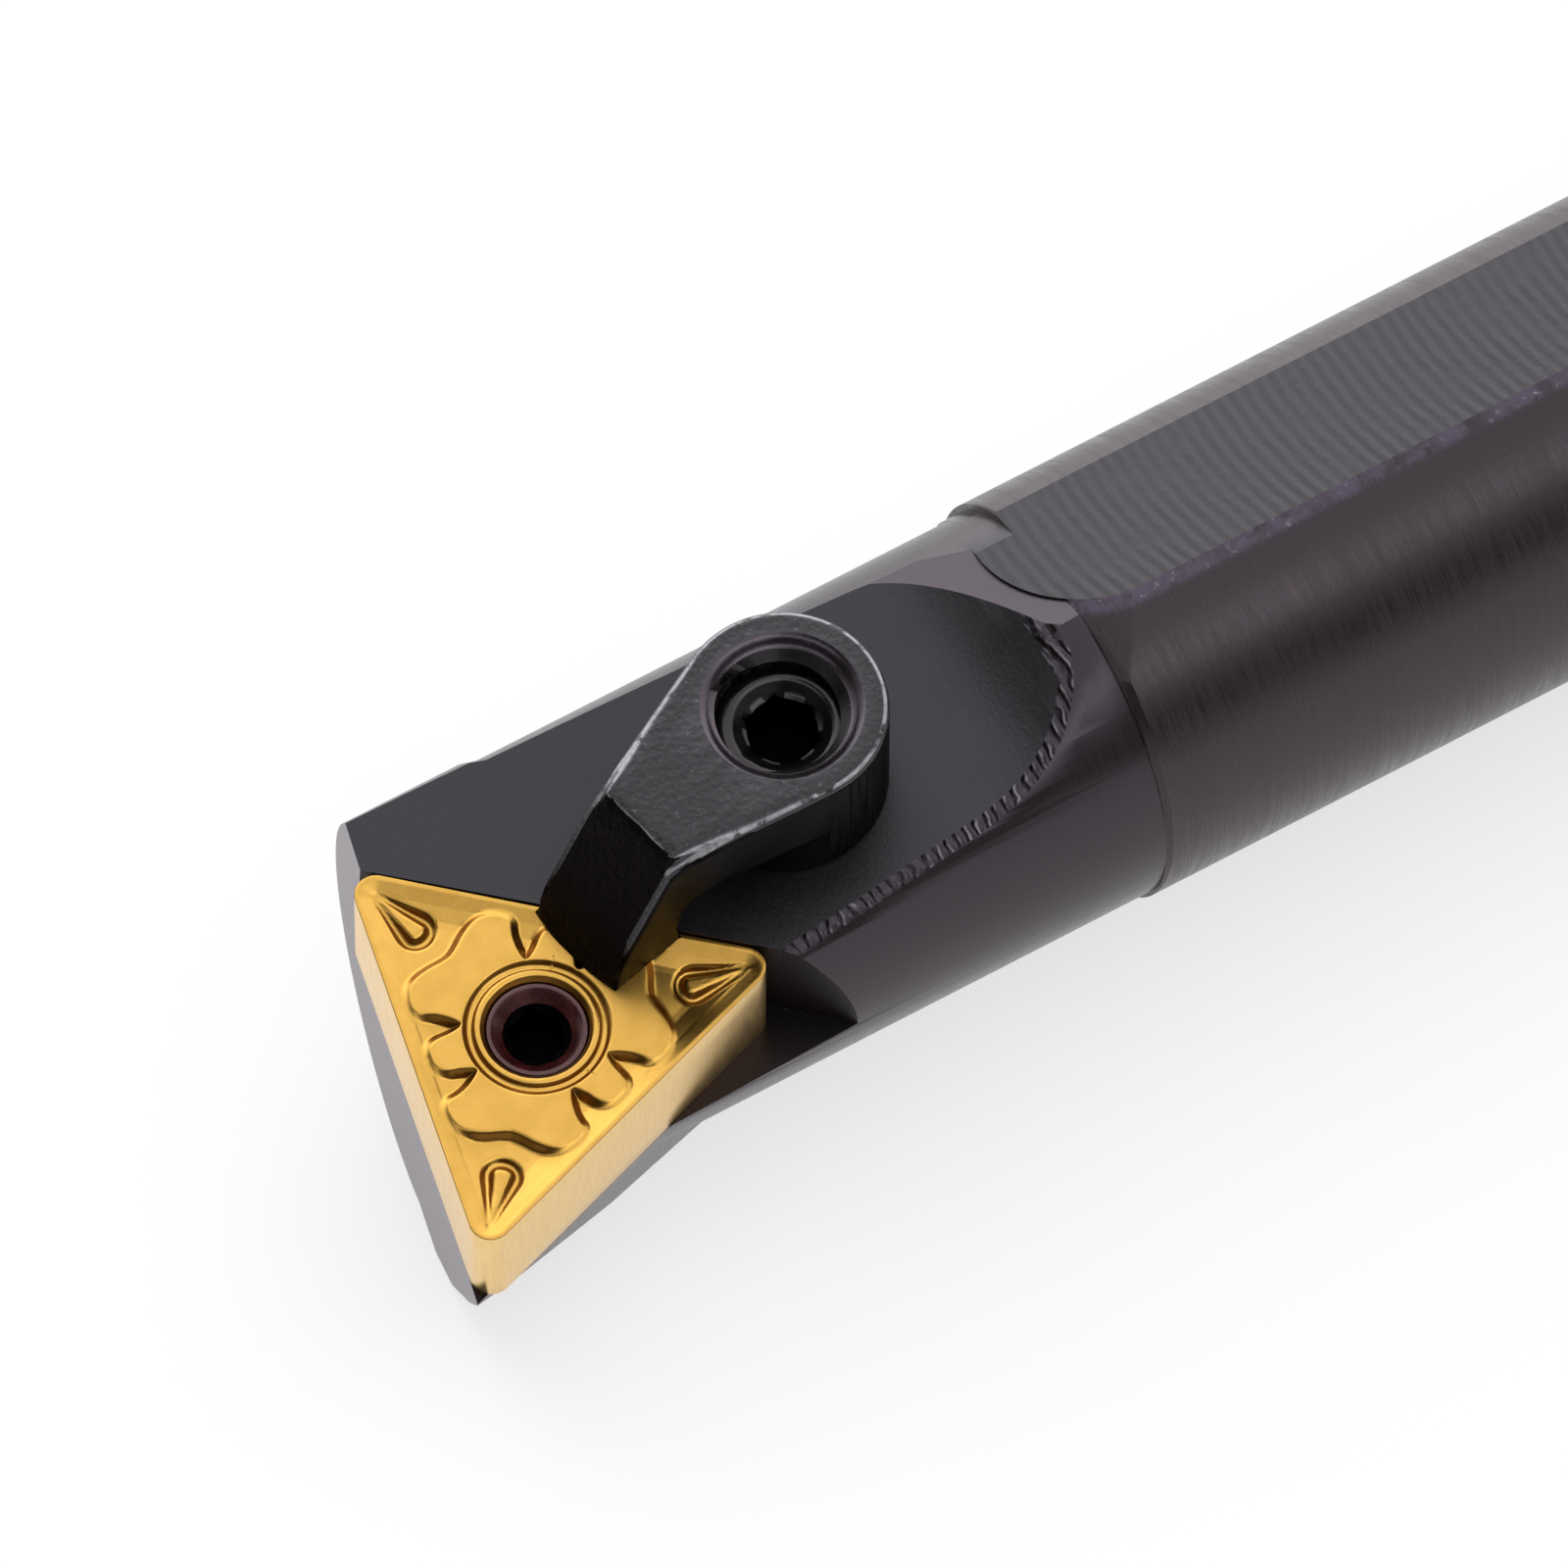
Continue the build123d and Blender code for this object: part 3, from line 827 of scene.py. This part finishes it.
mesh = insert_mesh()
for x in (gold, gold_flank, gold):
    mesh.materials.append(x.m)
bm = bmesh.new()
bm.from_mesh(mesh)
bmesh.ops.recalc_face_normals(bm, faces=bm.faces)
bm.to_mesh(mesh)
bm.free()
insert = new_object("insert_relief", mesh)
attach(insert, "bar")
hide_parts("insert")

# ---------------------------------------------------------------- centre pin
bm = cad_copy("lock_pin", [on_cylinder(C0, NZ, 1.85)], 1)


def pin_class(c, n, pts):
    loc = insert_local(pts)
    rr = np.hypot(loc[:, 0], loc[:, 1])
    return 1 if rr.max() < 1.32 and loc[:, 2].max() < -0.25 else 0


pin = finish_piece("lock_pin_body", bm, [pin_mat, socket], pin_class, bevel=0.04, angle=30)
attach(pin, "lock_pin")
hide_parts("lock_pin")


# ---------------------------------------------------------------- clamp
def clamp_class(c, n, pts):
    loc = clamp_local(c[None])[0]
    r = sqrt(loc[0] ** 2 + loc[1] ** 2)
    up = n @ NZ
    rr = np.hypot(*(clamp_local(pts)[:, :2].T))
    if rr.max() < 2.54:
        return 3
    if rr.max() < 3.1 and loc[2] > 5.5:
        return 2
    if up > 0.97:
        return 0
    if up < 0.30:
        return 1
    if loc[0] > 7.0 and abs(n @ SY) < 0.2 and up < 0.75:
        return 4
    return 0




def nose_weight(p):
    loc = clamp_local(p)
    a = np.clip((loc[:, 0] - 5.8) / 1.6, 0, 1)
    b = np.clip((loc[:, 2] - 0.10) / 0.5, 0, 1)
    return a * a * (3 - 2 * a) * b


def nose_region(p):
    return clamp_local(p)[:, 0] > 4.7


bm = cad_copy("clamp", [on_cylinder(S0, NZ, 2.5), on_cylinder(S0, NZ, 3.9), on_cylinder(S0, NZ, 10.5)], 1)
clamp = finish_piece("clamp_body", bm, [clamp_top, clamp_side_painted_shade, clamp_csk, hole, clamp_slope_painted_shade], clamp_class, bevel=0.04, bevel_mat=None, angle=38, round_edges=(nose_weight, nose_region, 0.17, 46))
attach(clamp, "clamp")
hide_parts("clamp")


# thread turns of the clamp's hole, above the screw
def helix(name, r_out, r_in, z0, z1, pitch, n=64):
    turns = (z1 - z0) / pitch
    steps = int(turns * n)
    verts, faces = [], []
    for i in range(steps + 1):
        a = 2 * pi * i / n
        z = z0 + pitch * i / n
        fade = min(1.0, i / (n * 0.12), (steps - i) / (n * 0.12))
        ri = r_out - (r_out - r_in) * fade
        for rr, dz in ((r_out, -0.36), (ri, -0.07), (ri, 0.07), (r_out, 0.36)):
            p = S0 + SX * rr * cos(a) + SY * rr * sin(a) + NZ * (z + dz)
            verts.append(tuple(p * MM))
        if i:
            k = 4 * (i - 1)
            for j in range(3):
                faces.append((k + j, k + j + 1, k + j + 5, k + j + 4))
    mesh = bpy.data.meshes.new(name)
    mesh.from_pydata(verts, [], faces)
    mesh.materials.append(screw_mat.m)
    return new_object(name, mesh)


thread = helix("clamp_thread", 2.5, 2.12, 4.95, 5.62, 0.8)
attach(thread, "clamp")

# ---------------------------------------------------------------- clamp screw, threaded
bm = cad_copy("clamp_screw")
kill = []
for f in bm.faces:
    c = clamp_local(np.array(f.calc_center_median())[None] * 1000)[0]
    if sqrt(c[0] ** 2 + c[1] ** 2) > 2.3 and abs(np.array(f.normal) @ NZ) < 0.2:
        kill.append(f)
bmesh.ops.delete(bm, geom=kill, context="FACES")
SZ0, SZ1, SR, SMINOR, PITCH = -9.6 + 0.30, 4.7 - 0.30, 2.45, 2.12, 0.8
n_a = 64
n_rows = int((SZ1 - SZ0) / PITCH * 12)
ring_prev = None
for k in range(n_rows + 1):
    z = SZ0 + (SZ1 - SZ0) * k / n_rows
    ring = []
    for i in range(n_a):
        a = 2 * pi * i / n_a
        hand = 1 if z > -1.2 else -1
        ph = (z / PITCH - hand * i / n_a) % 1.0
        t = 1 - abs(ph - 0.5) * 2
        prof = min(1.0, max(0.0, (t - 0.12) / 0.7))
        amt = 1 - smooth01(np.array(0.35 - min(k, n_rows - k) * (SZ1 - SZ0) / n_rows) / 0.35)
        amt *= smooth01(abs(z + 1.2) / 0.3)
        rr = SR - (SR - SMINOR) * (1 - prof) * float(amt)
        ring.append(bm.verts.new(tuple((S0 + SX * rr * cos(a) + SY * rr * sin(a) + NZ * z) * MM)))
    if ring_prev:
        for i in range(n_a):
            j = (i + 1) % n_a
            bm.faces.new((ring_prev[i], ring_prev[j], ring[j], ring[i]))
    ring_prev = ring
bm.normal_update()


def screw_class(c, n, pts):
    loc = clamp_local(pts)
    rr = np.hypot(loc[:, 0], loc[:, 1])
    return 1 if rr.max() < 1.75 and (loc[:, 2].min() < 4.05 or rr.max() < 1.46) else 0


screw = finish_piece("clamp_screw_body", bm, [screw_mat, socket], screw_class, bevel=0.04, angle=50)
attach(screw, "clamp_screw")
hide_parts("clamp_screw")

# ---------------------------------------------------------------- floor, light, camera
FLOOR_Z = -8.46
fm = bpy.data.meshes.new("floor")
s = 1.6
fm.from_pydata([(-s, -s, FLOOR_Z * MM), (s, -s, FLOOR_Z * MM), (s, s, FLOOR_Z * MM), (-s, s, FLOOR_Z * MM)], [], [(0, 1, 2, 3)])
fm.materials.append(floor_mat.m)
floor_o = new_object("floor", fm)

world = bpy.data.worlds.new("studio")
bpy.context.scene.world = world
world.use_nodes = True
wt = world.node_tree
for n in list(wt.nodes):
    wt.nodes.remove(n)
tc = wt.nodes.new("ShaderNodeTexCoord")
sep = wt.nodes.new("ShaderNodeSeparateXYZ")
wt.links.new(tc.outputs["Generated"], sep.inputs[0])
wx, wy, wz = (Sock(wt, sep.outputs[i]) for i in range(3))
d = wx * -0.342 + wy * -0.94
level = d.step(0.0, 0.8) * 1.0 + 1.0
level = level - d.step(0.1, -0.3) * wz.step(0.55, 0.2) * 0.92
level = level - wx.step(0.20, 0.44) * 0.95
level = level + (wx - 0.13).abs().step(0.16, 0.0) * wz.step(0.8, 0.95) * 0.35
level = level + (wz - 0.64).abs().step(0.14, 0.0) * d.step(0.0, -0.4) * 1.5
level = level.max(0.04)
bg = wt.nodes.new("ShaderNodeBackground")
wt.links.new(level.s, bg.inputs["Strength"])
bg.inputs["Color"].default_value = (1.0, 0.985, 1.0, 1)
white = wt.nodes.new("ShaderNodeBackground")
white.inputs["Color"].default_value = (1, 1, 1, 1)
white.inputs["Strength"].default_value = 1.0
lp = wt.nodes.new("ShaderNodeLightPath")
mixw = wt.nodes.new("ShaderNodeMixShader")
wt.links.new(lp.outputs["Is Camera Ray"], mixw.inputs[0])
wt.links.new(bg.outputs[0], mixw.inputs[1])
wt.links.new(white.outputs[0], mixw.inputs[2])
out = wt.nodes.new("ShaderNodeOutputWorld")
wt.links.new(mixw.outputs[0], out.inputs["Surface"])

CAM_POS = Vector((367.73187157, 737.22590871, 872.56987498)) * MM
CAM_R = Vector((-0.85023292, 0.51846987, -0.09106577))
CAM_U = Vector((-0.43369986, -0.59188910, 0.67939070))
CAM_N = Vector((0.29834277, 0.61713555, 0.72810391))
cam = bpy.data.cameras.new("camera")
cam.sensor_width = 36
cam.sensor_fit = "HORIZONTAL"
cam.lens = 33297.763 / 1600 * 36
cam.clip_start = 0.05
cam.clip_end = 20
cam_o = new_object("camera", cam)
cam_o.matrix_world = Matrix(
    (
        (CAM_R.x, CAM_U.x, CAM_N.x, CAM_POS.x),
        (CAM_R.y, CAM_U.y, CAM_N.y, CAM_POS.y),
        (CAM_R.z, CAM_U.z, CAM_N.z, CAM_POS.z),
        (0, 0, 0, 1),
    )
)
bpy.context.scene.camera = cam_o
bpy.context.scene.view_settings.view_transform = "Standard"

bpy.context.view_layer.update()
